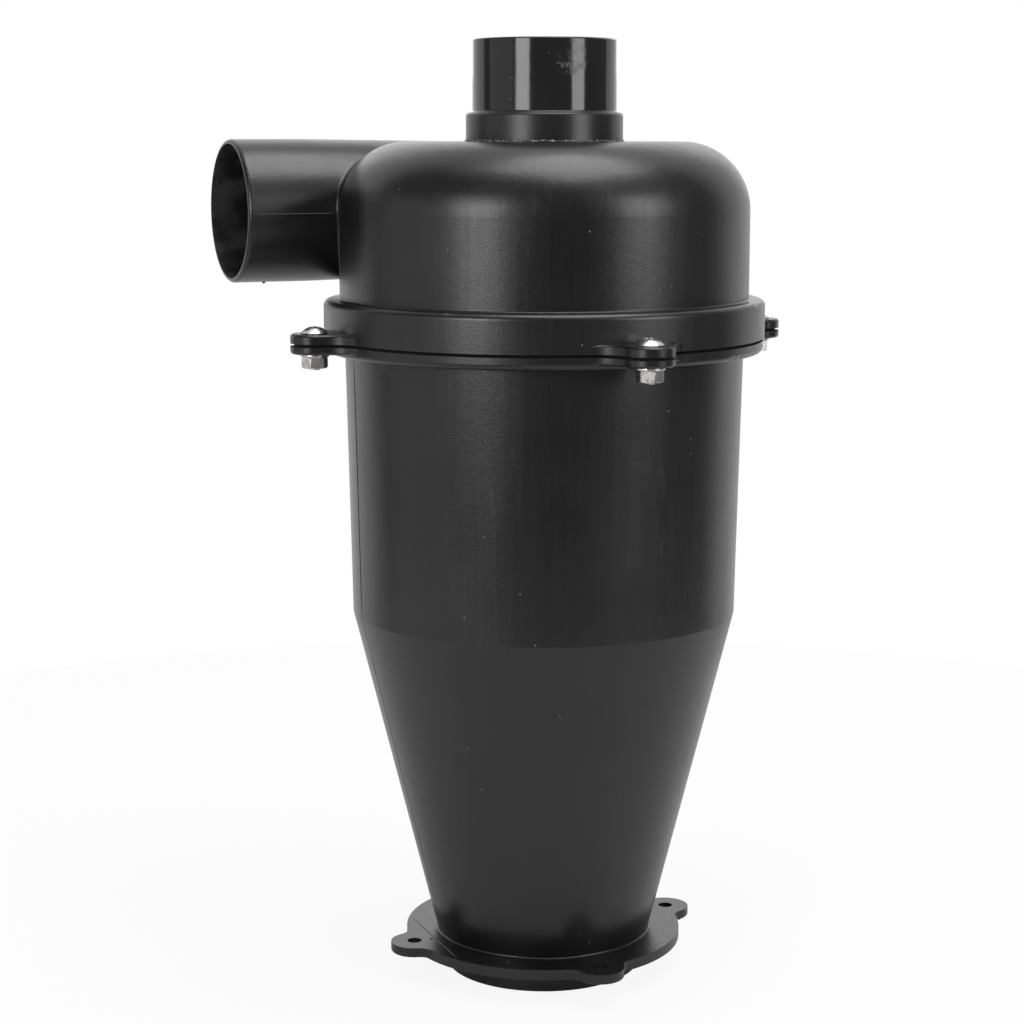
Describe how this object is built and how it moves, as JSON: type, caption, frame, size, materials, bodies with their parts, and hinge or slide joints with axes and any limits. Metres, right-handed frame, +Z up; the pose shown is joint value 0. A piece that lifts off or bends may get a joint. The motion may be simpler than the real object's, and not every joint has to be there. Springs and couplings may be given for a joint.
{
  "type": "cyclone dust separator",
  "caption": "Plastic cyclone dust separator: a domed lid with a tangential inlet and a top outlet tube, bolted to a barrel and cone with a lugged base plate and spigot.",
  "frame": {"origin": "on the cyclone's axis, at the open lower end of the spigot", "axes": "+Z up along the cyclone's axis, out of the outlet tube; -X out of the inlet tube's mouth; +Y towards the side that the inlet is tangent to"},
  "size_m": [0.1951, 0.1878, 0.3349],
  "materials": {
    "body_plastic": "black moulded plastic with a satin sheen",
    "tube_plastic": "glossy black plastic",
    "seal_rubber": "matt dark grey rubber",
    "zinc_steel": "bright zinc plated steel"
  },
  "bodies": {
    "root": {"lid": "body_plastic", "outlet_tube": "tube_plastic", "seal_ring": "seal_rubber", "cone_body": "body_plastic", "screw_1": "zinc_steel", "screw_2": "zinc_steel", "screw_3": "zinc_steel", "screw_4": "zinc_steel", "washer_1": "zinc_steel", "washer_2": "zinc_steel", "washer_3": "zinc_steel", "washer_4": "zinc_steel", "nut_1": "zinc_steel", "nut_2": "zinc_steel", "nut_3": "zinc_steel", "nut_4": "zinc_steel"}
  },
  "joints": []
}
